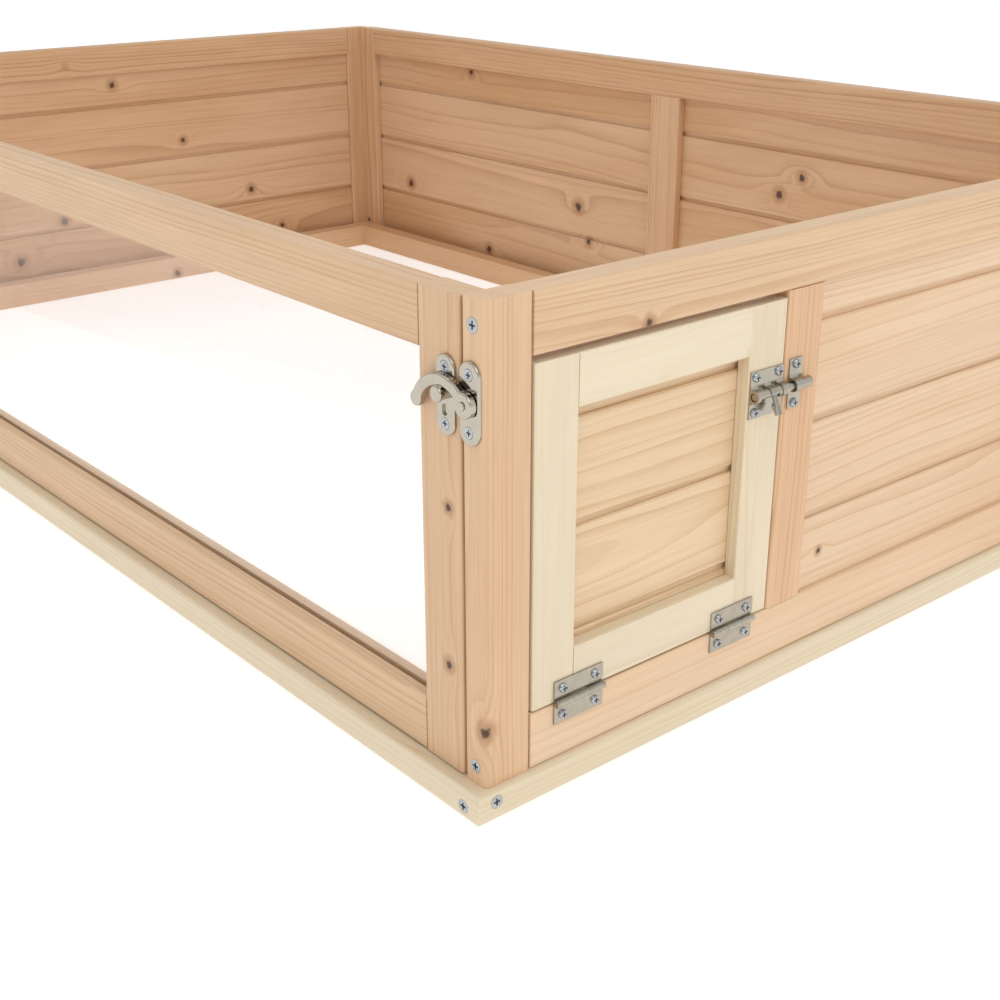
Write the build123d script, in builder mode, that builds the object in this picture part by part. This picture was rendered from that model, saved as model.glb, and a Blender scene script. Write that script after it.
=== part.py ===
from build123d import *
from math import radians, tan
import os

# Timber cold frame: an open-topped box on a rebated base ring, with a glazed front
# panel hung at its left end and a small drop-down door in the right-hand wall.
# Millimetres. +Z is up, -Y is the glazed front, +X is the wall with the door.
# The origin is the middle of the base, on the ground.

# ---- overall sizes
LENGTH = 1214
DEPTH = 800
HEIGHT = 290
RIGHT, LEFT = LENGTH / 2, -LENGTH / 2
BACK, FRONT = DEPTH / 2, -DEPTH / 2

# ---- base ring: flat boards with a rebate that the walls stand in
BASE_WIDTH = 42
STEP_HEIGHT = 17
LIP_HEIGHT = 27
BASE_EASE = 2.5

# ---- wall timber
FRAME = 18                  # thickness of every framing member
SIDE_INSET = 4.5            # outer edge of the base to the faces of the side and back walls
FRONT_INSET = 9             # the same at the glazed front
FRONT_POST = 32
REAR_POST = 36
TOP_RAIL = 33.5
BOTTOM_RAIL = 35
EASE = 1.6                  # rounding of long edges
POST_EASE = 3

# ---- tongued and grooved boards
BOARD = 9                   # thickness
SHOW = 5                    # height of the recess that shows at each joint
TONGUE = 4                  # how far a tongue enters the board above, and its thickness
PLAY = 0.15                 # clearance in a groove
HOUSING = 6                 # depth of the grooves that hold board ends
SIDE_RECESS = 4             # outer face of a side wall to its boards
END_BATTEN = 28.5           # width of the uprights in the back corners
BATTEN_X, BATTEN_WIDTH = -15.4, 42  # the upright in the middle of the back wall

# ---- drop-down door
DOOR_START, DOOR_END = 42, 236      # from the front edge of the base
DOOR_BOTTOM, DOOR_TOP = 53.5, 252.5
DOOR_STILE = 30.5
DOOR_RAIL = 29.5
STRIP = 9                   # thickness of the strips that frame its face
MID_STILE_START = 237.5
MID_STILE = 32

# ---- front panel
PANEL_GAP = 1.5
PANEL_STILE = 33
PANEL_RAIL = 34
PANE = 3
PANE_GROOVE = 3.6
PANE_DEPTH = 8

# ---- hardware
HINGE_WIDTH, HINGE_LEAF, LEAF = 37, 13.5, 1.1
KNUCKLE, PIN, PIN_HOLE = 2.2, 1.15, 1.2
PAN_HEAD, PAN_RISE, PAN_SHANK, PAN_LENGTH = 2.8, 1.7, 1.4, 13
CSK_HEAD, CSK_SHANK, CSK_LENGTH = 3.1, 1.5, 15
WOOD_HEAD, WOOD_SHANK = 4, 2
POST_SCREW, BASE_SCREW, FOOT_SCREW, BATTEN_SCREW = 55, 25, 38, 16
PLATE = 1                   # pressed bolt and keeper plates
CAST = 2                    # latch and claw plates
ROD, ROD_AXIS = 2.4, 3.7
SLEEVE, STRAP, FOOT = 3.4, 3.9, 6.4  # outer radii round the rod, and half the width of a strap
ROD_PLAY, KEEPER_PLAY = 0.08, 0.35

# ---- levels and faces worked out from those
FACE_RIGHT = RIGHT - SIDE_INSET
FACE_LEFT = -FACE_RIGHT
FACE_BACK = BACK - SIDE_INSET
FACE_FRONT = FRONT + FRONT_INSET
IN_RIGHT, IN_LEFT, IN_BACK = FACE_RIGHT - FRAME, FACE_LEFT + FRAME, FACE_BACK - FRAME
RAIL_TOP = STEP_HEIGHT + BOTTOM_RAIL
RAIL_UNDER = HEIGHT - TOP_RAIL
HINGE_LINE = (RAIL_TOP + DOOR_BOTTOM) / 2
POST_BACK = FACE_FRONT + FRONT_POST
REAR_END = FRONT + 791
REAR_START = REAR_END - REAR_POST
DOOR_FRONT, DOOR_REAR = FRONT + DOOR_START, FRONT + DOOR_END
MID_FRONT = FRONT + MID_STILE_START
MID_REAR = MID_FRONT + MID_STILE
PANEL_HALF = IN_RIGHT - PANEL_GAP
PANEL_BACK = FACE_FRONT + FRAME
PANEL_BOTTOM, PANEL_TOP = STEP_HEIGHT + 1, HEIGHT - 1
SIDE_SEAMS = [106 + 65 * i for i in range(3)]
BACK_SEAMS = [81 + 70 * i for i in range(3)]
DOOR_SEAMS = [91.5 + 63.5 * i for i in range(3)]
LATCH_Z = 236.5
LATCH_X = RIGHT - 14.5
CLAW_X = RIGHT - 33.3
BOLT_Y = FRONT + 221
BOLT_Z = 199.3
DOOR_HINGES = [FRONT + 76, FRONT + 203.8]
PANEL_HINGES = [72, 234]
PANEL_PIVOT = IN_LEFT + PANEL_GAP / 2

os.makedirs("parts", exist_ok=True)


def save(builder, label):
    """Name a finished piece and write it out."""
    builder.part.label = label
    export_step(builder.part, f"parts/{label}.step")


def middle(*spans):
    return tuple((low + high) / 2 for low, high in spans)


def size(*spans):
    return tuple(high - low for low, high in spans)


def outward(point, direction, across=(0, 0, 1)):
    """A plane on a surface: z points out of it, x runs along the given direction."""
    return Plane(origin=point, x_dir=across, z_dir=direction)


def at(frame, x, y, z=0):
    """The same plane moved by a distance given in its own directions."""
    return Plane(frame.location * Location((x, y, z)))


# ---- screws: where each one enters, so that the timber can be bored for it
OUT_FRONT, OUT_BACK = (0, -1, 0), (0, 1, 0)
OUT_RIGHT, OUT_LEFT, OUT_DOWN = (1, 0, 0), (-1, 0, 0), (0, 0, -1)

base_screws = []
for side, out in ((1, OUT_RIGHT), (-1, OUT_LEFT)):
    for end, along in ((-1, OUT_FRONT), (1, OUT_BACK)):
        base_screws.append(outward((side * (RIGHT - 13.5), end * BACK, 6), along))
        base_screws.append(outward((side * RIGHT, end * (BACK - 13), 10), out))

post_screws = []
for side in (-1, 1):
    for level in (28, 276.5):
        post_screws.append(outward((side * (FACE_RIGHT - FRAME / 2), FACE_FRONT, level), OUT_FRONT))
        post_screws.append(outward((side * (FACE_RIGHT - FRAME / 2), REAR_END, level), OUT_BACK))
foot_screws = [
    outward((side * (IN_RIGHT + 4.5), y, 0), OUT_DOWN, (1, 0, 0))
    for side in (-1, 1)
    for y in (FACE_FRONT + 23, REAR_START + 12)
]
batten_screws = [
    outward((x, FACE_BACK, level), OUT_BACK)
    for x in (END_BATTEN / 2 - IN_RIGHT, BATTEN_X, IN_RIGHT - END_BATTEN / 2)
    for level in (40, 116, 186, 250)
]
batten_screws += [outward((side * (IN_RIGHT - 5), IN_BACK, 30.5), OUT_FRONT) for side in (-1, 1)]


def hinge_screws(frame, upper):
    """The two screws of one leaf; upper is the leaf on the +y side of the hinge frame."""
    rise = 8.4 if upper else -8.4
    return [at(frame, x, rise, LEAF) for x in (-12.3, 12.3)]


door_hinge_frames = [
    Plane(origin=(FACE_RIGHT, y, HINGE_LINE), x_dir=(0, 1, 0), z_dir=OUT_RIGHT) for y in DOOR_HINGES
]
panel_hinge_frames = [
    Plane(origin=(PANEL_PIVOT, FACE_FRONT, z), x_dir=(0, 0, -1), z_dir=OUT_FRONT) for z in PANEL_HINGES
]
bolt_frame = Plane(origin=(FACE_RIGHT, BOLT_Y, BOLT_Z), x_dir=(0, 1, 0), z_dir=OUT_RIGHT)
keeper_frame = Plane(origin=(FACE_RIGHT, FRONT + 246.7, BOLT_Z), x_dir=(0, 1, 0), z_dir=OUT_RIGHT)
latch_frame = Plane(origin=(LATCH_X, FACE_FRONT, LATCH_Z), x_dir=(1, 0, 0), z_dir=OUT_FRONT)
claw_frame = Plane(origin=(CLAW_X, FACE_FRONT, LATCH_Z), x_dir=(1, 0, 0), z_dir=OUT_FRONT)

BOLT_HOLES = [(x, y) for x in (-9.8, 9.8) for y in (-10.8, 10.8)]
KEEPER_HOLES = [(0, -12), (0, 12)]
CAST_HOLES = [(0, -15), (0, 15)]

fixed_pan, door_pan, panel_pan = [], [], []
for frame in door_hinge_frames:
    fixed_pan += hinge_screws(frame, False)
    door_pan += hinge_screws(frame, True)
for frame in panel_hinge_frames:
    fixed_pan += hinge_screws(frame, False)
    panel_pan += hinge_screws(frame, True)
door_pan += [at(bolt_frame, x, y, PLATE) for x, y in BOLT_HOLES]
fixed_pan += [at(keeper_frame, x, y, PLATE) for x, y in KEEPER_HOLES]
latch_csk = [at(latch_frame, x, y, CAST) for x, y in CAST_HOLES]
claw_csk = [at(claw_frame, x, y, CAST) for x, y in CAST_HOLES]

# every screw as (plane, shank radius, length, countersink radius or 0)
BORES = (
    [(p, WOOD_SHANK, BASE_SCREW, WOOD_HEAD) for p in base_screws]
    + [(p, WOOD_SHANK, FOOT_SCREW, WOOD_HEAD) for p in foot_screws]
    + [(p, WOOD_SHANK, POST_SCREW, WOOD_HEAD) for p in post_screws]
    + [(p, CSK_SHANK, BATTEN_SCREW, CSK_HEAD) for p in batten_screws]
    + [(p, PAN_SHANK, PAN_LENGTH, 0) for p in fixed_pan + door_pan + panel_pan]
    + [(p, CSK_SHANK, CSK_LENGTH, CSK_HEAD) for p in latch_csk + claw_csk]
)


def bores_through(spans):
    """The screws whose bodies enter the box given by its spans."""
    found = []
    for plane, shank, length, sink in BORES:
        tip = plane.origin - plane.z_dir * length
        reach = max(shank, sink) + 1
        inside = True
        for (low, high), a, b in zip(spans, plane.origin, tip):
            if min(a, b) - reach > high or max(a, b) + reach < low:
                inside = False
        if inside:
            found.append((plane, shank, length, sink))
    return found


def bore(screws):
    """Cut pilot holes and countersinks in the piece being built."""
    for plane, shank, length, sink in screws:
        with Locations(at(plane, 0, 0, -length / 2)):
            Cylinder(shank + 0.05, length + 1.5, mode=Mode.SUBTRACT)
        if sink:
            with Locations(at(plane, 0, 0, -sink / 2)):
                Cone(0.3, sink + 0.3, sink, mode=Mode.SUBTRACT)


def cut_away(spans_list):
    for spans in spans_list:
        with Locations(middle(*spans)):
            Box(*size(*spans), mode=Mode.SUBTRACT)


def timber(label, x, y, z, grain, ease=EASE, tongues=(), cuts=()):
    """A length of planed timber between (low, high) limits, eased along the grain."""
    with BuildPart() as piece:
        with Locations(middle(x, y, z)):
            Box(*size(x, y, z))
        fillet(piece.edges().filter_by(grain), ease)
        for tongue in tongues:
            with Locations(middle(*tongue)):
                Box(*size(*tongue))
        cut_away(cuts)
        bore(bores_through((x, y, z)))
    save(piece, label)


def board_profile(outline, low, high, first, last):
    """Draw the end of a board in a sketch: x across its thickness, y up."""
    top = high if last else high - SHOW
    above = (Align.CENTER, Align.MIN)
    with Locations((0, low)):
        Rectangle(BOARD, top - low, align=above)
    if not last:
        chamfer(outline.vertices().group_by(Axis.Y)[-1], 0.9)
        with Locations((0, top)):
            Rectangle(TONGUE - 2 * PLAY, high + TONGUE - PLAY - top, align=above)
    if not first:
        with Locations((0, low)):
            Rectangle(TONGUE, TONGUE, align=above, mode=Mode.SUBTRACT)


def board_shape(start, end, centre, low, high, along, first, last):
    """One board, running along X or Y between start and end."""
    across = (centre - BOARD / 2, centre + BOARD / 2)
    if along == "X":
        plane = Plane(origin=(start, centre, 0), x_dir=(0, 1, 0), z_dir=(1, 0, 0))
        spans = ((start, end), across, (low, high))
    else:
        plane = Plane(origin=(centre, start, 0), x_dir=(-1, 0, 0), z_dir=(0, 1, 0))
        spans = (across, (start, end), (low, high))
    with BuildPart() as plank:
        with BuildSketch(plane) as outline:
            board_profile(outline, low, high, first, last)
        extrude(amount=end - start)
        bore(bores_through(spans))
    return plank


def boarding(prefix, start, end, centre, bottom, seams, top, along):
    """A wall of boards stacked from the bottom, jointed at the seams."""
    edges = [bottom] + seams + [top]
    for i, (low, high) in enumerate(zip(edges, edges[1:])):
        plank = board_shape(start, end, centre, low, high, along, i == 0, i == len(seams))
        save(plank, f"{prefix}_{i + 1}")


# ---- base ring
def base_ring_board(label, side, length, rebate, cuts=()):
    """One mitred side of the base ring; side is the plane whose x runs along its outer edge."""
    with BuildPart() as piece:
        section = side * Plane(origin=(-length / 2, 0, 0), x_dir=(0, 1, 0), z_dir=(1, 0, 0))
        with BuildSketch(Plane(section)) as end:
            with BuildLine():
                Polyline(
                    (0, 0), (BASE_WIDTH, 0), (BASE_WIDTH, LIP_HEIGHT), (rebate, LIP_HEIGHT),
                    (rebate, STEP_HEIGHT), (0, STEP_HEIGHT), close=True,
                )
            make_face()
            step_corner = end.vertices().group_by(Axis.X)[0].sort_by(Axis.Y)[-1]
            lip_corners = end.vertices().group_by(Axis.Y)[-1]
            fillet(step_corner, BASE_EASE)
            fillet(lip_corners, BASE_EASE)
        extrude(amount=length)
        cut_away(cuts)
        for way in (-1, 1):
            mitre = side * Plane(origin=(way * length / 2, 0, 0), x_dir=(0, 0, 1), z_dir=(way, 1, 0))
            split(bisect_by=Plane(mitre), keep=Keep.BOTTOM)
        box = piece.part.bounding_box()
        bore(bores_through(tuple(zip(box.min, box.max))))
    save(piece, label)


SIDE_REBATE = SIDE_INSET + FRAME + 0.3
FRONT_REBATE = FRONT_INSET + FRAME + 0.5
UP = (0, 0, 1)
panel_step = ((LEFT - 5, RIGHT + 5), (FRONT - 5, FRONT + FRONT_REBATE), (STEP_HEIGHT, LIP_HEIGHT + 5))
base_ring_board("base_front", Plane((0, FRONT, 0), (1, 0, 0), UP), LENGTH, FRONT_REBATE)
base_ring_board("base_right", Plane((RIGHT, 0, 0), (0, 1, 0), UP), DEPTH, SIDE_REBATE, [panel_step])
base_ring_board("base_back", Plane((0, BACK, 0), (-1, 0, 0), UP), LENGTH, SIDE_REBATE)
base_ring_board("base_left", Plane((LEFT, 0, 0), (0, -1, 0), UP), DEPTH, SIDE_REBATE, [panel_step])

# ---- side walls
STAND = (STEP_HEIGHT, HEIGHT)
GROOVE = BOARD + 2 * PLAY
right_boards_x = FACE_RIGHT - SIDE_RECESS - BOARD / 2
rear_groove = (REAR_START - 1, REAR_START + HOUSING)


def side_post(label, side, y, cuts=()):
    x = tuple(sorted((side * FACE_RIGHT, side * IN_RIGHT)))
    timber(label, x, y, STAND, Axis.Z, POST_EASE, cuts=cuts)


def groove_span(centre):
    return (centre - GROOVE / 2, centre + GROOVE / 2)


timber_x_right, timber_x_left = (IN_RIGHT, FACE_RIGHT), (FACE_LEFT, IN_LEFT)
right_groove, left_groove = groove_span(right_boards_x), groove_span(-right_boards_x)
RIGHT_BOARD_Z = (RAIL_TOP - HOUSING, RAIL_UNDER + HOUSING)
LEFT_BOARD_Z = (STEP_HEIGHT, RAIL_UNDER + HOUSING)

side_post("right_front_post", 1, (FACE_FRONT, POST_BACK))
side_post("right_rear_post", 1, (REAR_START, REAR_END), cuts=[(right_groove, rear_groove, RIGHT_BOARD_Z)])
side_post(
    "left_front_post", -1, (FACE_FRONT, POST_BACK),
    cuts=[(left_groove, (POST_BACK - HOUSING, POST_BACK + 1), (STEP_HEIGHT - 1, LEFT_BOARD_Z[1]))],
)
side_post(
    "left_rear_post", -1, (REAR_START, REAR_END),
    cuts=[(left_groove, rear_groove, (STEP_HEIGHT - 1, LEFT_BOARD_Z[1]))],
)

side_rail_y = (POST_BACK, REAR_START)
timber(
    "right_bottom_rail", timber_x_right, side_rail_y, (STEP_HEIGHT, RAIL_TOP), Axis.Y,
    cuts=[(right_groove, (MID_REAR - HOUSING, REAR_START + 1), (RAIL_TOP - HOUSING, RAIL_TOP + 1))],
)
timber(
    "right_top_rail", timber_x_right, side_rail_y, (RAIL_UNDER, HEIGHT), Axis.Y,
    cuts=[(right_groove, (MID_REAR - HOUSING, REAR_START + 1), (RAIL_UNDER - 1, RAIL_UNDER + HOUSING))],
)
timber(
    "left_top_rail", timber_x_left, side_rail_y, (RAIL_UNDER, HEIGHT), Axis.Y,
    cuts=[(left_groove, (POST_BACK - 1, REAR_START + 1), (RAIL_UNDER - 1, RAIL_UNDER + HOUSING))],
)
timber(
    "right_middle_stile", timber_x_right, (MID_FRONT, MID_REAR), (RAIL_TOP, RAIL_UNDER), Axis.Z,
    cuts=[(right_groove, (MID_REAR - HOUSING, MID_REAR + 1), (RAIL_TOP - 1, RAIL_UNDER + 1))],
)
SEAT = HOUSING - 0.3        # how far a board enters its groove
boarding(
    "right_board", MID_REAR - SEAT, REAR_START + SEAT, right_boards_x,
    RAIL_TOP - SEAT, SIDE_SEAMS, RAIL_UNDER + SEAT, "Y",
)
boarding(
    "left_board", POST_BACK - SEAT, REAR_START + SEAT, -right_boards_x,
    STEP_HEIGHT, BACK_SEAMS, RAIL_UNDER + SEAT, "Y",
)

# ---- back wall: full-width boards behind end battens, a middle batten and a top rail
back_half = IN_RIGHT - END_BATTEN
batten_y = (IN_BACK, FACE_BACK - BOARD)
back_boards_y = FACE_BACK - BOARD / 2
timber("back_right_batten", (back_half, IN_RIGHT), batten_y, STAND, Axis.Z, 1)
timber("back_left_batten", (-IN_RIGHT, -back_half), batten_y, STAND, Axis.Z, 1)
timber("back_top_rail", (-back_half, back_half), batten_y, (RAIL_UNDER, HEIGHT), Axis.X, 1)
timber(
    "back_middle_batten", (BATTEN_X - BATTEN_WIDTH / 2, BATTEN_X + BATTEN_WIDTH / 2), batten_y,
    (STEP_HEIGHT, RAIL_UNDER), Axis.Z, 1,
)
boarding(
    "back_board", PLAY - IN_RIGHT, IN_RIGHT - PLAY, back_boards_y,
    STEP_HEIGHT, BACK_SEAMS, HEIGHT, "X",
)

# ---- front panel: a grooved frame that holds the pane
panel_y = (FACE_FRONT, PANEL_BACK)
panel_mid = (FACE_FRONT + PANEL_BACK) / 2
pane_groove = (panel_mid - PANE_GROOVE / 2, panel_mid + PANE_GROOVE / 2)
stub = (pane_groove[0] + PLAY / 2, pane_groove[1] - PLAY / 2)
panel_in = PANEL_HALF - PANEL_STILE
rail_low = (PANEL_BOTTOM, PANEL_BOTTOM + PANEL_RAIL)
rail_high = (PANEL_TOP - 33, PANEL_TOP)
STUB = PANE_DEPTH - 0.3
for label, outer_edge, inner_edge in (
    ("panel_latch_stile", PANEL_HALF, panel_in),
    ("panel_hinge_stile", -PANEL_HALF, -panel_in),
):
    x_span = tuple(sorted((outer_edge, inner_edge)))
    towards = 1 if outer_edge > 0 else -1
    groove_x = tuple(sorted((inner_edge + towards * PANE_DEPTH, inner_edge - towards)))
    timber(
        label, x_span, panel_y, (PANEL_BOTTOM, PANEL_TOP), Axis.Z,
        cuts=[(groove_x, pane_groove, (PANEL_BOTTOM + 6, PANEL_TOP - 6))],
    )
for label, z_span, groove_z in (
    ("panel_bottom_rail", rail_low, (rail_low[1] - PANE_DEPTH, rail_low[1] + 1)),
    ("panel_top_rail", rail_high, (rail_high[0] - 1, rail_high[0] + PANE_DEPTH)),
):
    stub_z = (z_span[0] + 7, z_span[1] - PANE_DEPTH) if z_span[0] < 100 else (
        z_span[0] + PANE_DEPTH, z_span[1] - 7)
    timber(
        label, (-panel_in, panel_in), panel_y, z_span, Axis.X,
        tongues=[
            ((panel_in - 1, panel_in + STUB), stub, stub_z),
            ((-panel_in - STUB, 1 - panel_in), stub, stub_z),
        ],
        cuts=[((-panel_in - 1, panel_in + 1), pane_groove, groove_z)],
    )
SET = PANE_DEPTH - 1
with BuildPart() as pane:
    with Locations((0, panel_mid, (rail_low[1] + rail_high[0]) / 2)):
        Box(2 * (panel_in + SET), PANE, rail_high[0] - rail_low[1] + 2 * SET)
save(pane, "panel_pane")

# ---- door: boards with four strips planted on their faces
strip_x = (FACE_RIGHT - STRIP, FACE_RIGHT)
door_z = (DOOR_BOTTOM, DOOR_TOP)
door_rail_y = (DOOR_FRONT + DOOR_STILE, DOOR_REAR - DOOR_STILE)
timber("door_front_stile", strip_x, (DOOR_FRONT, door_rail_y[0]), door_z, Axis.Z, 1)
timber("door_rear_stile", strip_x, (door_rail_y[1], DOOR_REAR), door_z, Axis.Z, 1)
timber("door_bottom_rail", strip_x, door_rail_y, (DOOR_BOTTOM, DOOR_BOTTOM + DOOR_RAIL), Axis.Y, 1)
timber("door_top_rail", strip_x, door_rail_y, (DOOR_TOP - DOOR_RAIL, DOOR_TOP), Axis.Y, 1)
door_levels = [DOOR_BOTTOM] + DOOR_SEAMS + [DOOR_TOP]
door_planks = [
    board_shape(
        DOOR_FRONT, DOOR_REAR, FACE_RIGHT - STRIP - BOARD / 2, low, high, "Y",
        low == DOOR_BOTTOM, high == DOOR_TOP,
    )
    for low, high in zip(door_levels, door_levels[1:])
]
with BuildPart() as door_boards:
    for plank in door_planks:
        add(plank.part)
save(door_boards, "door_boards")


# ---- butt hinges
def hinge_leaf(label, frame, upper):
    """One leaf. The upper leaf has the middle knuckle, the lower one the outer two."""
    third = HINGE_WIDTH / 3
    gap = 0.15
    own = [0] if upper else [-third, third]
    other = [-third, third] if upper else [0]
    way = 1 if upper else -1
    with BuildPart(frame) as leaf:
        with Locations((0, way * (HINGE_LEAF + 0.6) / 2, LEAF / 2)):
            Box(HINGE_WIDTH, HINGE_LEAF - 0.6, LEAF)
        fillet(leaf.edges().filter_by(Axis(frame.origin, frame.z_dir)), 0.4)
        for x in own:
            with Locations((x, 0, KNUCKLE)):
                Cylinder(KNUCKLE, third - gap, rotation=(0, 90, 0))
            with Locations((x, way * KNUCKLE / 2, LEAF / 2)):
                Box(third - gap, KNUCKLE, LEAF)
        for x in other:
            with Locations((x, 0, KNUCKLE)):
                Cylinder(KNUCKLE + 0.35, third + gap, rotation=(0, 90, 0), mode=Mode.SUBTRACT)
        with Locations((0, 0, KNUCKLE)):
            Cylinder(PIN_HOLE, HINGE_WIDTH + 2, rotation=(0, 90, 0), mode=Mode.SUBTRACT)
        with Locations(*[(x, way * 8.4, LEAF) for x in (-12.3, 12.3)]):
            Hole(PAN_SHANK + 0.2)
    save(leaf, label)


def hinge_pins(label, frames):
    """The pins of a pair of hinges, each with a slightly rounded end."""
    with BuildPart() as pins:
        for frame in frames:
            with Locations(at(frame, 0, 0, KNUCKLE)):
                Cylinder(PIN, HINGE_WIDTH + 0.6, rotation=(0, 90, 0))
    save(pins, label)


for name, frames in (("door_hinge", door_hinge_frames), ("panel_hinge", panel_hinge_frames)):
    for number, frame in enumerate(frames, 1):
        hinge_leaf(f"{name}_{number}_fixed_leaf", frame, False)
        hinge_leaf(f"{name}_{number}_moving_leaf", frame, True)
    hinge_pins(f"{name}_pins", frames)


# ---- barrel bolt on the door
def sleeve(start, end):
    """A plain tube along x for the rod, with straight sides down to the plate."""
    length, centre = end - start, (start + end) / 2
    with Locations((centre, 0, ROD_AXIS)):
        Cylinder(SLEEVE, length, rotation=(0, 90, 0))
    with Locations((centre, 0, (PLATE + ROD_AXIS) / 2)):
        Box(length, 2 * SLEEVE, ROD_AXIS - PLATE)


def strap(frame, start, end):
    """A pressed arch over the rod that flares out into its plate, between two values of x."""
    section = frame * Plane(origin=(start, 0, 0), x_dir=(0, 1, 0), z_dir=(1, 0, 0))
    flare = (STRAP + 0.5, PLATE + 0.7)
    with BuildSketch(Plane(section)) as outline:
        with Locations((0, ROD_AXIS)):
            Circle(STRAP)
        with Locations((0, 0)):
            Rectangle(4 * STRAP, 4 * STRAP, align=(Align.CENTER, Align.MAX), mode=Mode.SUBTRACT)
        with BuildLine():
            Polyline((-FOOT, PLATE), (-FOOT, PLATE / 2), (FOOT, PLATE / 2), (FOOT, PLATE))
            ThreePointArc((FOOT, PLATE), flare, (STRAP, ROD_AXIS))
            Line((STRAP, ROD_AXIS), (-STRAP, ROD_AXIS))
            ThreePointArc((-STRAP, ROD_AXIS), (-flare[0], flare[1]), (-FOOT, PLATE))
        make_face()
    extrude(outline.sketch, amount=end - start)


def rod_bore(play):
    with Locations((0, 0, ROD_AXIS)):
        Cylinder(ROD + play, 60, rotation=(0, 90, 0), mode=Mode.SUBTRACT)


BOLT_PLATE = 28.5
BOLT_HALF = BOLT_PLATE / 2
BOLT_STRAPS = [(-BOLT_HALF, -8.5), (-2.5, 3), (8, BOLT_HALF)]
BOLT_TRAVEL = 13
STEM_X = 3.5                # rest place of the stem, from the middle of the plate
STEM = 1.7
KNOB = 2.4
with BuildPart(bolt_frame) as bolt_plate:
    with Locations((0, 0, PLATE / 2)):
        Box(BOLT_PLATE, BOLT_PLATE, PLATE)
    sleeve(-BOLT_HALF, BOLT_HALF)
    for start, end in BOLT_STRAPS:
        strap(bolt_frame, start, end)
    rod_bore(ROD_PLAY)
    with Locations((STEM_X - BOLT_TRAVEL / 2, -FOOT / 2 - 0.6, PLATE + 5)):
        Box(BOLT_TRAVEL + 2 * STEM + 1, FOOT + 1, 10, mode=Mode.SUBTRACT)
    with Locations(*[(x, y, PLATE) for x, y in BOLT_HOLES]):
        Hole(PAN_SHANK + 0.2)
save(bolt_plate, "bolt_plate")

ROD_START, ROD_END = -13.6, 27.5
with BuildPart(bolt_frame) as bolt_rod:
    with Locations(((ROD_START + ROD_END) / 2, 0, ROD_AXIS)):
        Cylinder(ROD, ROD_END - ROD_START, rotation=(0, 90, 0))
    chamfer(bolt_rod.edges().filter_by(GeomType.CIRCLE), 0.5)
    with Locations(Location((STEM_X, -5.6, ROD_AXIS + 2.2), (68, 0, 0))):
        Cylinder(STEM, 10.5)
    with Locations(Location((STEM_X, -10.7, ROD_AXIS + 4.2), (68, 0, 0))):
        Cylinder(KNOB, 4.6)
save(bolt_rod, "bolt_rod")

KEEPER_W, KEEPER_H, KEEPER_TUBE = 11, 31, 9.8
with BuildPart(keeper_frame) as bolt_keeper:
    with Locations((0, 0, PLATE / 2)):
        Box(KEEPER_W, KEEPER_H, PLATE)
    strap(keeper_frame, -KEEPER_W / 2, 1.5)
    sleeve(1.5, KEEPER_W / 2)
    with Locations(((KEEPER_W / 2 + KEEPER_TUBE) / 2, 0, ROD_AXIS)):
        Cylinder(SLEEVE, KEEPER_TUBE - KEEPER_W / 2, rotation=(0, 90, 0))
    rod_bore(KEEPER_PLAY)
    with Locations(*[(x, y, PLATE) for x, y in KEEPER_HOLES]):
        Hole(PAN_SHANK + 0.2)
save(bolt_keeper, "bolt_keeper")

# ---- swing latch: a hooked arm on the corner post drops behind a claw on the panel
PLATE_W, PLATE_H = 15.4, 44
CLAW_W, CLAW_H = 14.5, 43
RIVET, RIVET_HEAD = 1.6, 2.4
ARM_BACK, ARM_THICK = 2.6, 3.8
BOSS, BOSS_HEAD = 3.2, 4.4  # radii of the claw's boss and of the lip that holds the arm back
LIP_BACK = 6.7
ARM_WIDTH = 6.4
ARM_APEX, ARM_TIP = (-17.5, 9), (-38, -5.5)


def cast_plate(label, frame, width, height, claw):
    """An oval plate with countersunk holes, plain or with a claw pressed out of it."""
    holes = [(Plane(origin=(x, y, CAST)), CSK_SHANK, CSK_LENGTH, CSK_HEAD) for x, y in CAST_HOLES]
    with BuildPart(frame) as plate:
        with BuildSketch(frame):
            SlotOverall(height, width, rotation=90)
        extrude(amount=CAST)
        fillet(plate.faces().sort_by(Axis(frame.origin, frame.z_dir))[-1].edges(), 1.1)
        if claw:
            with BuildSketch(frame.offset(CAST / 2)):
                with Locations((0, 1.2)):
                    Circle(BOSS)
            extrude(amount=LIP_BACK - CAST / 2 + 0.5)
            with BuildSketch(frame.offset(LIP_BACK)):
                with Locations((0, 1.9)):
                    Circle(BOSS_HEAD)
            extrude(amount=1.6)
            fillet(plate.faces().sort_by(Axis(frame.origin, frame.z_dir))[-1].edges(), 1)
            with BuildSketch(frame.offset(CAST)):
                with Locations((0, -7.6)):
                    SlotOverall(6.4, 4.4, rotation=90)
            extrude(amount=-1.2, mode=Mode.SUBTRACT)
        else:
            with Locations((0, 0, CAST)):
                Hole(RIVET + 0.05)
        bore(holes)
    save(plate, label)


cast_plate("latch_plate", latch_frame, PLATE_W, PLATE_H, False)
cast_plate("latch_claw_plate", claw_frame, CLAW_W, CLAW_H, True)

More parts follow.
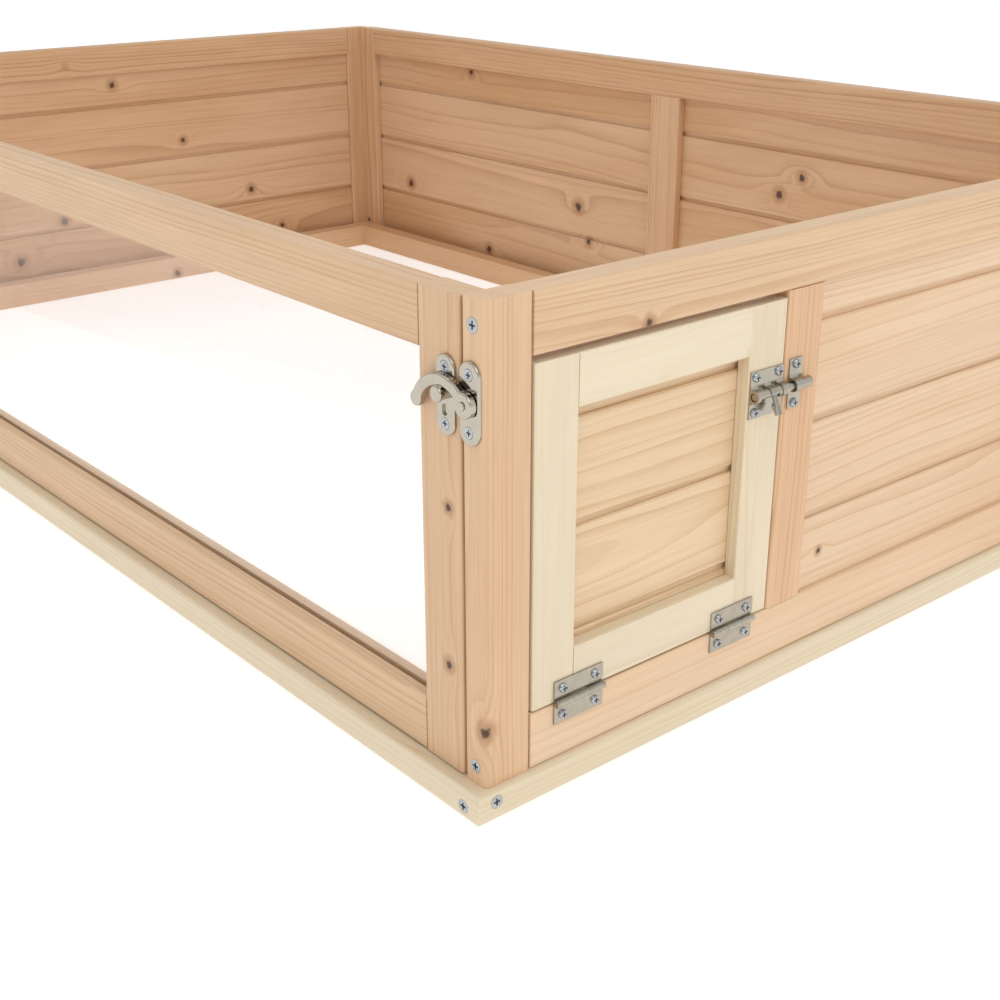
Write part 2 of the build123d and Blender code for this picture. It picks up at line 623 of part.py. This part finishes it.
with BuildPart(latch_frame) as latch_arm:
    with BuildSketch(latch_frame.offset(ARM_BACK)) as outline:
        with BuildLine(mode=Mode.PRIVATE) as arc:
            ThreePointArc((0, 0), ARM_APEX, ARM_TIP)
        SlotArc(arc.edge(), ARM_WIDTH)
        Circle(6.8)
        with Locations(ARM_TIP):
            Circle(4.2)
        fillet(outline.vertices(), 2.5)
    extrude(amount=ARM_THICK)
    fillet(latch_arm.faces().sort_by(Axis(latch_frame.origin, latch_frame.z_dir))[-1].edges(), 1.2)
    with BuildSketch(latch_frame.offset(CAST + 0.1)):
        Circle(4.6)
    extrude(amount=ARM_BACK - CAST)
    with Locations((0, 0, ARM_BACK + ARM_THICK)):
        Hole(RIVET + 0.06)
save(latch_arm, "latch_arm")

with BuildPart(latch_frame) as latch_rivet:
    with Locations((0, 0, (ARM_BACK + ARM_THICK + 0.4) / 2)):
        Cylinder(RIVET, ARM_BACK + ARM_THICK + 0.4)
    with BuildSketch(latch_frame.offset(ARM_BACK + ARM_THICK + 0.1)):
        Circle(RIVET_HEAD)
    extrude(amount=0.8)
    fillet(latch_rivet.faces().sort_by(Axis(latch_frame.origin, latch_frame.z_dir))[-1].edges(), 0.5)
save(latch_rivet, "latch_rivet")


# ---- screws
def cross_recess(width, depth):
    for turn in (0, 90):
        with Locations(Location((0, 0, -depth / 2), (0, 0, turn))):
            Box(width, width / 4, depth, mode=Mode.SUBTRACT)


def countersunk_screw(head, shank, length):
    """Top of the head at z = 0, pointing down."""
    with BuildPart() as screw:
        with BuildSketch(Plane.XZ):
            with BuildLine():
                Polyline(
                    (0, 0), (head, 0), (head, -0.25), (shank, shank - head - 0.25),
                    (shank, 2.2 * shank - length), (0, -length), close=True,
                )
            make_face()
        revolve(axis=Axis.Z)
        cross_recess(head * 1.15, head * 0.42)
    return screw.part


def pan_screw(head, rise, shank, length):
    """Underside of the head at z = 0, pointing down."""
    with BuildPart() as screw:
        with BuildSketch(Plane.XZ):
            with BuildLine():
                Polyline(
                    (0, rise), (0, -length), (shank, 2.2 * shank - length), (shank, 0), (head, 0),
                    (head, rise * 0.35), (head * 0.86, rise * 0.78), (head * 0.6, rise), close=True,
                )
            make_face()
        revolve(axis=Axis.Z)
        with Locations((0, 0, rise)):
            cross_recess(head * 1.2, rise * 0.75)
    return screw.part


def screw_group(label, groups):
    """Copies of one or more screws, each set on its own list of planes."""
    with BuildPart() as group:
        for screw, planes in groups:
            with Locations(*planes):
                add(screw)
    save(group, label)


plate_screw = countersunk_screw(CSK_HEAD, CSK_SHANK, CSK_LENGTH)
pan = pan_screw(PAN_HEAD, PAN_RISE, PAN_SHANK, PAN_LENGTH)
screw_group("frame_screws", [
    (countersunk_screw(WOOD_HEAD, WOOD_SHANK, BASE_SCREW), base_screws),
    (countersunk_screw(WOOD_HEAD, WOOD_SHANK, FOOT_SCREW), foot_screws),
    (countersunk_screw(WOOD_HEAD, WOOD_SHANK, POST_SCREW), post_screws),
    (countersunk_screw(CSK_HEAD, CSK_SHANK, BATTEN_SCREW), batten_screws),
])
screw_group("fixed_hardware_screws", [(pan, fixed_pan), (plate_screw, latch_csk)])
screw_group("panel_screws", [(pan, panel_pan), (plate_screw, claw_csk)])
screw_group("door_screws", [(pan, door_pan)])
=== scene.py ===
import math
import random

import bpy
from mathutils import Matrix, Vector


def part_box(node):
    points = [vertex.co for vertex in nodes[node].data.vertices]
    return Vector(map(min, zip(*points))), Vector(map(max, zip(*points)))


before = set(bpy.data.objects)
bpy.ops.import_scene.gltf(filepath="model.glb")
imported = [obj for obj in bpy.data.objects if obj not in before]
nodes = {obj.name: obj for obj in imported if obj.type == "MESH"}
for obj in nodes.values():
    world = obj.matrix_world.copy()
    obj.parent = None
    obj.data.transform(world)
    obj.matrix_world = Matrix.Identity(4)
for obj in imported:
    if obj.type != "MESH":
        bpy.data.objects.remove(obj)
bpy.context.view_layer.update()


# ---- shader node helpers
def new_tree(name):
    """An empty material and its node tree."""
    material = bpy.data.materials.new(name)
    material.use_nodes = True
    tree = material.node_tree
    tree.nodes.clear()
    return material, tree


def make(tree, kind, inputs=(), **settings):
    """A node with its properties set by name. Each input takes a socket or a plain value."""
    node = tree.nodes.new(kind)
    for key, value in settings.items():
        setattr(node, key, value)
    for key, value in dict(inputs).items():
        if isinstance(value, bpy.types.NodeSocket):
            tree.links.new(value, node.inputs[key])
        else:
            node.inputs[key].default_value = value
    return node


def maths(tree, operation, a, b=None):
    inputs = {0: a} if b is None else {0: a, 1: b}
    return make(tree, "ShaderNodeMath", inputs, operation=operation).outputs[0]


def vector_maths(tree, operation, a, b=None):
    """A vector, or the length for LENGTH. For SCALE, b is the factor."""
    inputs = {0: a}
    if b is not None:
        inputs["Scale" if operation == "SCALE" else 1] = b
    node = make(tree, "ShaderNodeVectorMath", inputs, operation=operation)
    return node.outputs[1 if operation == "LENGTH" else 0]


def combine(tree, x, y, z):
    return make(tree, "ShaderNodeCombineXYZ", {0: x, 1: y, 2: z}).outputs[0]


def separate(tree, vector):
    return make(tree, "ShaderNodeSeparateXYZ", {0: vector}).outputs


def object_coords(tree):
    """Metres in the shared frame, which ride with the piece when it moves."""
    return make(tree, "ShaderNodeTexCoord").outputs["Object"]


def noise(tree, vector, scale, detail=2.0, roughness=0.5, output="Fac"):
    inputs = {"Vector": vector, "Scale": scale, "Detail": detail, "Roughness": roughness}
    return make(tree, "ShaderNodeTexNoise", inputs).outputs[output]


def spread(tree, value, low, high, to_low=0.0, to_high=1.0, smooth=False):
    """Map a value from one range to another, clamped."""
    curve = "SMOOTHSTEP" if smooth else "LINEAR"
    inputs = {0: value, 1: low, 2: high, 3: to_low, 4: to_high}
    return make(tree, "ShaderNodeMapRange", inputs, interpolation_type=curve).outputs[0]


def blend(tree, factor, a, b):
    """Mix two colours. Each is a socket or three linear channels."""
    a, b = (c if isinstance(c, bpy.types.NodeSocket) else (*c, 1) for c in (a, b))
    return make(tree, "ShaderNodeMix", {0: factor, 6: a, 7: b}, data_type="RGBA").outputs[2]


def roughen(tree, height, strength, distance):
    """A normal from a height map. distance is the depth of its relief in metres."""
    inputs = {"Strength": strength, "Distance": distance, "Height": height}
    return make(tree, "ShaderNodeBump", inputs).outputs[0]


def surface(tree, inputs):
    """Finish a material with a principled shader."""
    shader = make(tree, "ShaderNodeBsdfPrincipled", inputs)
    make(tree, "ShaderNodeOutputMaterial", {"Surface": shader.outputs[0]})


def dress(node, material):
    slots = nodes[node].data.materials
    slots.clear()
    slots.append(material)


# ---- the grain of timber
# Each piece is cut from its own imaginary log: the growth rings are cylinders about a pith
# line that runs along the piece, a little bent by noise, so that long faces show straight or
# arched grain and cut ends show arcs of rings.
GRAIN_ORDER = {"X": (0, 1, 2), "Y": (1, 2, 0), "Z": (2, 0, 1)}
GRAIN_INPUTS = ("Knot Pull", "Pith Y", "Pith Z", "Rings", "Seed")
GRAIN_OUTPUTS = ("Late Wood", "Fibre", "Mottle", "Blush")

# how tight each pattern is per metre, first along the grain and then across it
BEND_SCALE = (1.6, 9.0, 9.0)
SHAKE_SCALE = (9.0, 60.0, 60.0)
FIBRE_SCALE = (14.0, 900.0, 900.0)
MOTTLE_SCALE = (5.0, 34.0, 34.0)
BLUSH_SCALE = (1.3, 7.0, 7.0)
NOISE_MIDDLE = (0.5, 0.5, 0.5)
SEED_SLOPE = (1.7, 0.6)         # keeps the three axes' seeds apart
PITH_WANDER = 0.024             # the whole width of the pith's wander, in metres
SHAKE_REACH = 0.0016            # the same for how far one ring is from round
WIDTH_STEP, WIDTH_SWING = 0.23, 3.4     # how fast and how far ring widths vary
LATE_CURVE = 3.2                # how late in its year a ring darkens
LATE_END = 0.93                 # the share of the year at which pale wood returns
LATE_NOISE, LATE_SLOT = 3.1, 3.0        # scale and place of the noise for each ring's strength
LATE_STRENGTHS = (0.38, 0.62, 0.25, 1.0)    # that noise's range, and the strengths it gives


def grain_group():
    """The shared grain pattern, as a node group."""
    group = bpy.data.node_groups.new("timber_grain", "ShaderNodeTree")
    sockets = group.interface
    sockets.new_socket(name="Along", in_out="INPUT", socket_type="NodeSocketVector")
    for name in GRAIN_INPUTS:
        sockets.new_socket(name=name, in_out="INPUT", socket_type="NodeSocketFloat")
    for name in GRAIN_OUTPUTS:
        sockets.new_socket(name=name, in_out="OUTPUT", socket_type="NodeSocketFloat")
    entry = group.nodes.new("NodeGroupInput").outputs
    leave = group.nodes.new("NodeGroupOutput").inputs
    along, seed = entry["Along"], entry["Seed"]

    shift = combine(group, seed, *(maths(group, "MULTIPLY", seed, slope) for slope in SEED_SLOPE))
    place = vector_maths(group, "ADD", along, shift)

    def stretched(vector, scale):
        return vector_maths(group, "MULTIPLY", vector, scale)

    def wobble(scale, reach):
        """A noise vector about zero."""
        cloud = noise(group, stretched(place, scale), 1.0, output="Color")
        centred = vector_maths(group, "SUBTRACT", cloud, NOISE_MIDDLE)
        return vector_maths(group, "SCALE", centred, reach)

    # the pith wanders slowly along the piece, and the rings are not quite round
    bend = wobble(BEND_SCALE, PITH_WANDER)
    shake = wobble(SHAKE_SCALE, SHAKE_REACH)
    bent = vector_maths(group, "ADD", along, vector_maths(group, "ADD", bend, shake))
    parts = separate(group, bent)
    squares = []
    for part, pith in ((parts[1], "Pith Y"), (parts[2], "Pith Z")):
        away = maths(group, "SUBTRACT", part, entry[pith])
        squares.append(maths(group, "MULTIPLY", away, away))
    radius = maths(group, "SQRT", maths(group, "ADD", *squares))
    radius = maths(group, "ADD", radius, entry["Knot Pull"])
    count = maths(group, "MULTIPLY", radius, entry["Rings"])

    # ring widths vary from year to year
    years = combine(group, maths(group, "MULTIPLY", count, WIDTH_STEP), seed, 0.0)
    years = noise(group, years, 1.0, 1.0)
    count = maths(group, "ADD", count, maths(group, "MULTIPLY", years, WIDTH_SWING))

    # slow darkening through the year and a quick return to pale early wood
    turn = maths(group, "FRACT", count)
    late = maths(group, "POWER", turn, LATE_CURVE)
    ending = spread(group, turn, LATE_END, 1.0, 1.0, 0.0, smooth=True)
    late = maths(group, "MULTIPLY", late, ending)
    strength = combine(group, maths(group, "FLOOR", count), seed, LATE_SLOT)
    strength = noise(group, strength, LATE_NOISE, 0.0)
    late = maths(group, "MULTIPLY", late, spread(group, strength, *LATE_STRENGTHS))
    group.links.new(late, leave["Late Wood"])

    thin = stretched(vector_maths(group, "ADD", place, shake), FIBRE_SCALE)
    group.links.new(noise(group, thin, 1.0, 3.0, 0.65), leave["Fibre"])
    group.links.new(noise(group, stretched(place, MOTTLE_SCALE), 1.0, 3.0, 0.55), leave["Mottle"])
    group.links.new(noise(group, stretched(place, BLUSH_SCALE), 1.0), leave["Blush"])
    return group


GRAIN = grain_group()

# ---- knots
KNOT_STRETCH = 0.45             # a knot pulls the grain aside further along it than across it
KNOT_PULL, KNOT_PULL_REACH = 1.3, 1.5   # strength and width of that pull, in knot radii
KNOT_RAGGED, KNOT_RAGGED_SCALE = 0.7, 240.0     # how uneven a knot's outline is
KNOT_CORE_FADE = (0.35, 0.8)    # radii over which the dark core fades
KNOT_RING_FADE = (0.8, 1.9)     # radii over which the brown ring fades
KNOT_CORE_COLOUR = (0.085, 0.035, 0.016)
KNOT_RING_COLOUR = (0.34, 0.15, 0.06)


def knots_pattern(tree, coords, axis, knots):
    """How far knots pull the grain aside, and where their cores and rings show.

    Each knot is x, y, z and its radius, in metres in the shared frame.
    """
    stretch = [1.0, 1.0, 1.0]
    stretch[GRAIN_ORDER[axis][0]] = KNOT_STRETCH

    def inside(edge, size, fade):
        return spread(tree, edge, size * fade[0], size * fade[1], 1.0, 0.0, smooth=True)

    pull, core, ring = 0.0, 0.0, 0.0
    for x, y, z, size in knots:
        apart = vector_maths(tree, "SUBTRACT", coords, (x, y, z))
        near = vector_maths(tree, "LENGTH", apart)
        wide = vector_maths(tree, "LENGTH", vector_maths(tree, "MULTIPLY", apart, stretch))
        fall = maths(tree, "POWER", maths(tree, "DIVIDE", wide, size * KNOT_PULL_REACH), 2.0)
        bump = maths(tree, "EXPONENT", maths(tree, "MULTIPLY", fall, -1.0))
        pull = maths(tree, "ADD", maths(tree, "MULTIPLY", bump, size * KNOT_PULL), pull)
        ragged = maths(tree, "SUBTRACT", noise(tree, coords, KNOT_RAGGED_SCALE), 0.5)
        edge = maths(tree, "ADD", near, maths(tree, "MULTIPLY", ragged, size * KNOT_RAGGED))
        core = maths(tree, "MAXIMUM", inside(edge, size, KNOT_CORE_FADE), core)
        ring = maths(tree, "MAXIMUM", inside(edge, size, KNOT_RING_FADE), ring)
    return pull, core, ring


# ---- timber
# early wood, late wood and the warmer tone that wanders through a piece, in linear colour
SPECIES = {
    "fir": ((0.73, 0.51, 0.315), (0.46, 0.215, 0.085), (0.70, 0.445, 0.26)),
    "pale_fir": ((0.78, 0.585, 0.40), (0.54, 0.28, 0.125), (0.75, 0.50, 0.30)),
    "pine": ((0.76, 0.66, 0.49), (0.60, 0.43, 0.23), (0.74, 0.60, 0.41)),
    "door_pine": ((0.79, 0.625, 0.43), (0.56, 0.34, 0.15), (0.76, 0.54, 0.33)),
    # the cedar tone is darker and more saturated than the wood alone: it also paints the shade and
    # the warm bounced light inside the box onto the pieces seen from inside
    "cedar_with_painted_shade": ((0.66, 0.43, 0.26), (0.36, 0.16, 0.06), (0.57, 0.325, 0.155)),
}
SEED_RANGE = (0, 40)

# the range of each pattern over which its colour comes in, and how much of it shows
BLUSH_BAND = (0.4, 0.6)
LATE_SHOWS = 0.95
STREAK_BAND, STREAK_SHOWS = (0.42, 0.72), 0.3
STREAK_PLAIN, STREAK_CONTRAST = 0.4, 0.6    # the shares that contrast leaves and scales
PALE_BAND, PALE_SHOWS, PALE_GAIN = (0.5, 0.7), 0.3, 1.14
DIM_BAND, DIM_SHOWS = (0.5, 0.3), 0.2
RING_SHOWS = 0.5

TIMBER_GLOSS = (0.3, 0.8, 0.42, 0.58)       # the range of the fibres, and the roughness it gives
FIBRE_RELIEF, LATE_RELIEF = 0.5, 0.35
TIMBER_BUMP, TIMBER_RELIEF = 0.22, 0.0003


def timber(name, axis, species, rings, pith, tone=1.0, contrast=1.0, warmth=0.5, knots=()):
    """Planed bare timber for one piece.

    axis is the way of the grain, rings their number per metre and pith the place of the log's
    heart. tone scales every colour, contrast the rings, and warmth the warmer patches.
    """
    material, tree = new_tree(name)
    seed = random.Random(name).uniform(*SEED_RANGE)
    coords = object_coords(tree)
    parts = separate(tree, coords)
    pull, core, ring = knots_pattern(tree, coords, axis, knots)
    grain = make(tree, "ShaderNodeGroup", {
        "Along": combine(tree, *(parts[i] for i in GRAIN_ORDER[axis])), "Knot Pull": pull,
        "Pith Y": pith[0], "Pith Z": pith[1], "Rings": rings, "Seed": seed,
    }, node_tree=GRAIN).outputs

    early, late, warm = ([channel * tone for channel in colour] for colour in SPECIES[species])
    pale = [min(1.0, channel * PALE_GAIN) for channel in early]
    # each layer is where it lies, how much of it shows and its colour
    layers = [
        (spread(tree, grain["Blush"], *BLUSH_BAND, smooth=True), warmth, warm),
        (grain["Late Wood"], LATE_SHOWS * contrast, late),
        (spread(tree, grain["Fibre"], *STREAK_BAND),
         STREAK_SHOWS * (STREAK_PLAIN + STREAK_CONTRAST * contrast), late),
        (spread(tree, grain["Mottle"], *PALE_BAND), PALE_SHOWS, pale),
        (spread(tree, grain["Mottle"], *DIM_BAND), DIM_SHOWS, warm),
    ]
    if knots:
        layers += [(ring, RING_SHOWS, KNOT_RING_COLOUR), (core, 1.0, KNOT_CORE_COLOUR)]
    colour = early
    for where, share, over in layers:
        colour = blend(tree, maths(tree, "MULTIPLY", where, share), colour, over)

    height = maths(tree, "ADD", maths(tree, "MULTIPLY", grain["Fibre"], FIBRE_RELIEF),
                   maths(tree, "MULTIPLY", grain["Late Wood"], LATE_RELIEF))
    surface(tree, {
        "Base Color": colour, "Specular IOR Level": 0.5,
        "Roughness": spread(tree, grain["Fibre"], *TIMBER_GLOSS),
        "Normal": roughen(tree, height, TIMBER_BUMP, TIMBER_RELIEF)})
    return material


def timber_node(node, species, offset, rings, axis=None, **look):
    """Dress a timber node, with its grain along its longest side unless axis says otherwise.

    offset is where the pith lies from the piece's middle, across the grain: (y, z) for grain
    along X, (z, x) along Y and (x, y) along Z.
    """
    low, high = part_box(node)
    size = [high[i] - low[i] for i in range(3)]
    axis = axis or "XYZ"[size.index(max(size))]
    middle = (low + high) / 2
    pith = [middle[i] + away for i, away in zip(GRAIN_ORDER[axis][1:], offset)]
    dress(node, timber(f"timber_{node}", axis, species, rings, pith, **look))


# base ring
timber_node("base_front", "pine", (-0.03, -0.16), 260, contrast=0.6, warmth=0.3)
timber_node("base_right", "pine", (0.12, -0.05), 280, contrast=0.6, warmth=0.3)
# base_back and base_left show their inner faces; their darker cedar tone is partly the wood and
# partly painted shade
timber_node("base_back", "cedar_with_painted_shade", (0.05, -0.12), 230, tone=1.04, contrast=0.5)
timber_node("base_left", "cedar_with_painted_shade", (-0.12, 0.05), 230, tone=1.04, contrast=0.5,
            knots=[(-0.565, 0.064, 0.006, 0.006)])

# posts and rails of the side walls
timber_node("right_front_post", "fir", (0.025, -0.12), 290, contrast=0.6, warmth=0.7,
            knots=[(0.6015, -0.3905, 0.052, 0.0055)])
timber_node("right_rear_post", "fir", (0.03, 0.08), 280)
timber_node("left_front_post", "fir", (-0.02, -0.09), 280)
# the left rear post is seen from inside the box; its darker cedar tone is partly painted shade
timber_node("left_rear_post", "cedar_with_painted_shade", (-0.03, 0.07), 280, tone=1.05)
timber_node("right_top_rail", "fir", (-0.11, 0.04), 300, contrast=0.7, warmth=0.8,
            knots=[(0.6025, -0.278, 0.2587, 0.0042), (0.6, 0.21, 0.271, 0.004)])
timber_node("right_bottom_rail", "pale_fir", (0.05, -0.13), 300, contrast=0.5, warmth=0.6)
timber_node("right_middle_stile", "fir", (-0.06, 0.09), 330, tone=1.04, contrast=0.8, warmth=1.0)
# the left top rail is seen from inside the box; its darker cedar tone is partly painted shade
timber_node("left_top_rail", "cedar_with_painted_shade", (0.05, 0.03), 270, knots=[(-0.59, -0.05, 0.27, 0.005)])

# wall boards. These are the faces that hold their knots: x at the left, y at the back, x at
# the right
LEFT_FACE, BACK_FACE, RIGHT_FACE = -0.5895, 0.3865, 0.5985
WALL_KNOTS = {
    "right_board_1": [(RIGHT_FACE, -0.109, 0.075, 0.003)],
    "right_board_3": [(RIGHT_FACE, 0.24, 0.2, 0.004)],
    "left_board_1": [(LEFT_FACE, -0.1312, 0.0469, 0.008), (LEFT_FACE, 0.24, 0.04, 0.005)],
    "left_board_2": [(LEFT_FACE, -0.0696, 0.088, 0.0075), (LEFT_FACE, 0.195, 0.0944, 0.0065)],
    "left_board_3": [(LEFT_FACE, -0.21, 0.19, 0.007), (LEFT_FACE, 0.1, 0.168, 0.005)],
    "left_board_4": [(LEFT_FACE, 0.01, 0.243, 0.006)],
    "back_board_1": [(-0.3253, BACK_FACE, 0.0319, 0.007), (-0.14, BACK_FACE, 0.0736, 0.006)],
    "back_board_2": [(-0.4906, BACK_FACE, 0.093, 0.0075), (-0.1586, BACK_FACE, 0.1126, 0.0085)],
    "back_board_3": [(0.1437, BACK_FACE, 0.1728, 0.007), (0.1716, BACK_FACE, 0.1939, 0.006)],
    "back_board_4": [(-0.36, BACK_FACE, 0.25, 0.006)],
}
for i in range(1, 5):
    # the pith lies on either side by chance, and further off in each board up the wall
    side = 1 if random.Random(f"boards {i}").random() < 0.5 else -1
    timber_node(f"right_board_{i}", "pale_fir", (side * 0.03 * i, -0.05 - 0.01 * i), 220 + 25 * i,
                contrast=0.65, warmth=0.6, knots=WALL_KNOTS.get(f"right_board_{i}", ()))
    # the left and back boards are seen from inside the box; their darker cedar tone is partly
    # painted shade
    timber_node(f"left_board_{i}", "cedar_with_painted_shade", (-side * 0.02 * i, 0.05 + 0.01 * i), 230,
                contrast=0.6, warmth=0.8, knots=WALL_KNOTS.get(f"left_board_{i}", ()))
    timber_node(f"back_board_{i}", "cedar_with_painted_shade", (0.05 + 0.01 * i, side * 0.03), 230,
                contrast=0.6, warmth=0.8, knots=WALL_KNOTS.get(f"back_board_{i}", ()))

# battens and top rail of the back wall
# the battens and top rail of the back wall are seen from inside; their darker cedar tone is partly
# painted shade
timber_node("back_right_batten", "cedar_with_painted_shade", (0.03, -0.05), 260, tone=1.05)
timber_node("back_left_batten", "cedar_with_painted_shade", (-0.03, -0.05), 260, tone=1.05)
timber_node("back_middle_batten", "cedar_with_painted_shade", (0.02, -0.06), 300, tone=1.02, contrast=1.3, warmth=1.0)
timber_node("back_top_rail", "cedar_with_painted_shade", (-0.06, 0.05), 260)

# front panel
timber_node("panel_top_rail", "fir", (-0.03, 0.07), 300, tone=0.96, contrast=0.7, warmth=0.6)
timber_node("panel_bottom_rail", "fir", (-0.05, 0.04), 280, tone=0.95, contrast=0.8)
timber_node("panel_latch_stile", "fir", (0.03, -0.05), 250, tone=0.96, contrast=0.65,
            knots=[(0.573, -0.391, 0.1745, 0.0038), (0.5717, -0.391, 0.0816, 0.0042)])
timber_node("panel_hinge_stile", "fir", (-0.04, -0.05), 280)

# door. The longest side of its boards, taken together, is not the way of their grain
timber_node("door_front_stile", "pine", (-0.03, 0.12), 300, contrast=0.2, warmth=0.2)
timber_node("door_rear_stile", "pine", (-0.09, 0.01), 420, contrast=0.8, warmth=0.3)
timber_node("door_top_rail", "pine", (-0.02, -0.09), 420, tone=1.03, contrast=0.7, warmth=0.2)
timber_node("door_bottom_rail", "pine", (0.01, -0.05), 260, contrast=0.5, warmth=0.2)
timber_node("door_boards", "door_pine", (-0.02, 0.07), 260, axis="Y", contrast=0.8, warmth=0.6)


# ---- metal and glazing
TONE_SCALE, TONE_BAND = 160.0, (0.35, 0.7)
GLOSS_SCALE, GLOSS_BAND, GLOSS_SWING = 420.0, (0.3, 0.7), (0.8, 1.25)
GRIT_SCALE = 900.0
LINES_ALONG, LINES_ACROSS, LINES_RELIEF = 60.0, 2600.0, 1.5
METAL_BUMP, METAL_RELIEF = 0.05, 0.0001


def plated(name, colour, rough, dull, brushed=None):
    """Plated metal, with small changes of tone and gloss.

    dull is how far the tone dips, and brushed the axis of any drawn lines.
    """
    material, tree = new_tree(name)
    coords = object_coords(tree)
    tone = spread(tree, noise(tree, coords, TONE_SCALE, 3.0, 0.6), *TONE_BAND)
    tint = blend(tree, tone, colour, [channel * (1 - dull) for channel in colour])
    gloss = [rough * swing for swing in GLOSS_SWING]
    gloss = spread(tree, noise(tree, coords, GLOSS_SCALE), *GLOSS_BAND, *gloss)
    height = noise(tree, coords, GRIT_SCALE)
    if brushed:
        stretch = [LINES_ACROSS] * 3
        stretch["XYZ".index(brushed)] = LINES_ALONG
        lines = noise(tree, vector_maths(tree, "MULTIPLY", coords, stretch), 1.0)
        height = maths(tree, "ADD", maths(tree, "MULTIPLY", lines, LINES_RELIEF), height)
    surface(tree, {"Base Color": tint, "Metallic": 1.0, "Roughness": gloss,
                   "Normal": roughen(tree, height, METAL_BUMP, METAL_RELIEF)})
    return material


def glazing(name):
    """Clear acrylic sheet."""
    material, tree = new_tree(name)
    surface(tree, {"Base Color": (0.96, 0.985, 0.98, 1), "Roughness": 0.0, "IOR": 1.49,
                   "Transmission Weight": 1.0, "Alpha": 0.14})
    return material


satin = plated("satin_nickel_plate", (0.45, 0.42, 0.355), rough=0.2, dull=0.14, brushed="Y")
bright = plated("bright_nickel_plate", (0.50, 0.46, 0.385), rough=0.06, dull=0.06)
zinc = plated("zinc_plate", (0.47, 0.50, 0.52), rough=0.24, dull=0.2)
pin_steel = plated("pin_steel", (0.40, 0.385, 0.35), rough=0.22, dull=0.1)
for node in nodes:
    if node.endswith("_leaf") or node.startswith("bolt_"):
        dress(node, satin)
    elif node.endswith("_pins"):
        dress(node, pin_steel)
    elif node.endswith("screws"):
        dress(node, zinc)
    elif node.startswith("latch_"):
        dress(node, bright)
dress("panel_pane", glazing("clear_acrylic"))


# ---- floor, light and camera
FLOOR_HALF = 24.0               # half the floor's width, enough to fill the main view
FLOOR_DROP = 0.0005             # a little under the base, so that the two faces do not flicker
CARD_SCALE, CARD_EDGE = 2.3, (0.55, 0.6)
CARD_HEIGHT = (0.15, 0.3)       # the cards come in between these heights in the sky
CARD_COLOUR, SKY_COLOUR = (0.12, 0.12, 0.13), (1.0, 1.0, 1.0)
SKY_STRENGTH = 0.94


def floor():
    mesh = bpy.data.meshes.new("floor")
    far = FLOOR_HALF
    corners = [(-far, -far, 0), (far, -far, 0), (far, far, 0), (-far, far, 0)]
    mesh.from_pydata(corners, [], [(0, 1, 2, 3)])
    ground = bpy.data.objects.new("floor", mesh)
    ground.location.z = -FLOOR_DROP
    bpy.context.scene.collection.objects.link(ground)
    material, tree = new_tree("floor_white")
    surface(tree, {"Base Color": (0.93, 0.93, 0.93, 1), "Roughness": 0.9,
                   "Specular IOR Level": 0.1,
                   "Emission Color": (1.0, 1.0, 1.0, 1), "Emission Strength": 0.3})
    mesh.materials.append(material)


def sky():
    """White all round, with dark cards high up for the metal to reflect."""
    world = bpy.data.worlds.new("studio")
    world.use_nodes = True
    tree = world.node_tree
    direction = make(tree, "ShaderNodeTexCoord").outputs["Generated"]
    high_up = spread(tree, separate(tree, direction)[2], *CARD_HEIGHT, smooth=True)
    cards = spread(tree, noise(tree, direction, CARD_SCALE, 1.0), *CARD_EDGE, smooth=True)
    cards = maths(tree, "MULTIPLY", cards, high_up)
    background = tree.nodes["Background"].inputs
    tree.links.new(blend(tree, cards, SKY_COLOUR, CARD_COLOUR), background["Color"])
    background["Strength"].default_value = SKY_STRENGTH
    bpy.context.scene.world = world


def area_light(name, place, aim, size, power):
    data = bpy.data.lights.new(name, "AREA")
    data.shape, data.size, data.energy = "SQUARE", size, power
    light = bpy.data.objects.new(name, data)
    light.location = place
    light.rotation_euler = (Vector(aim) - Vector(place)).to_track_quat("-Z", "Y").to_euler()
    bpy.context.scene.collection.objects.link(light)


floor()
sky()
area_light("key", (2.2, -1.0, 2.6), (0.3, -0.1, 0.1), size=2.2, power=18)
area_light("fill", (-1.6, -2.6, 1.8), (0.0, 0.0, 0.1), size=2.4, power=6)
area_light("top", (0.0, 0.2, 3.2), (0.0, 0.0, 0.0), size=2.6, power=12)

camera_data = bpy.data.cameras.new("camera")
camera_data.sensor_width, camera_data.lens = 36.0, 53.05
camera_data.clip_start = 0.02
camera = bpy.data.objects.new("camera", camera_data)
camera.location = (1.1246, -0.8232, 0.4739)
camera.rotation_euler = (math.radians(67.16), 0.0, math.radians(49.74))
bpy.context.scene.collection.objects.link(camera)
bpy.context.scene.camera = camera
bpy.context.scene.view_settings.view_transform = "Standard"
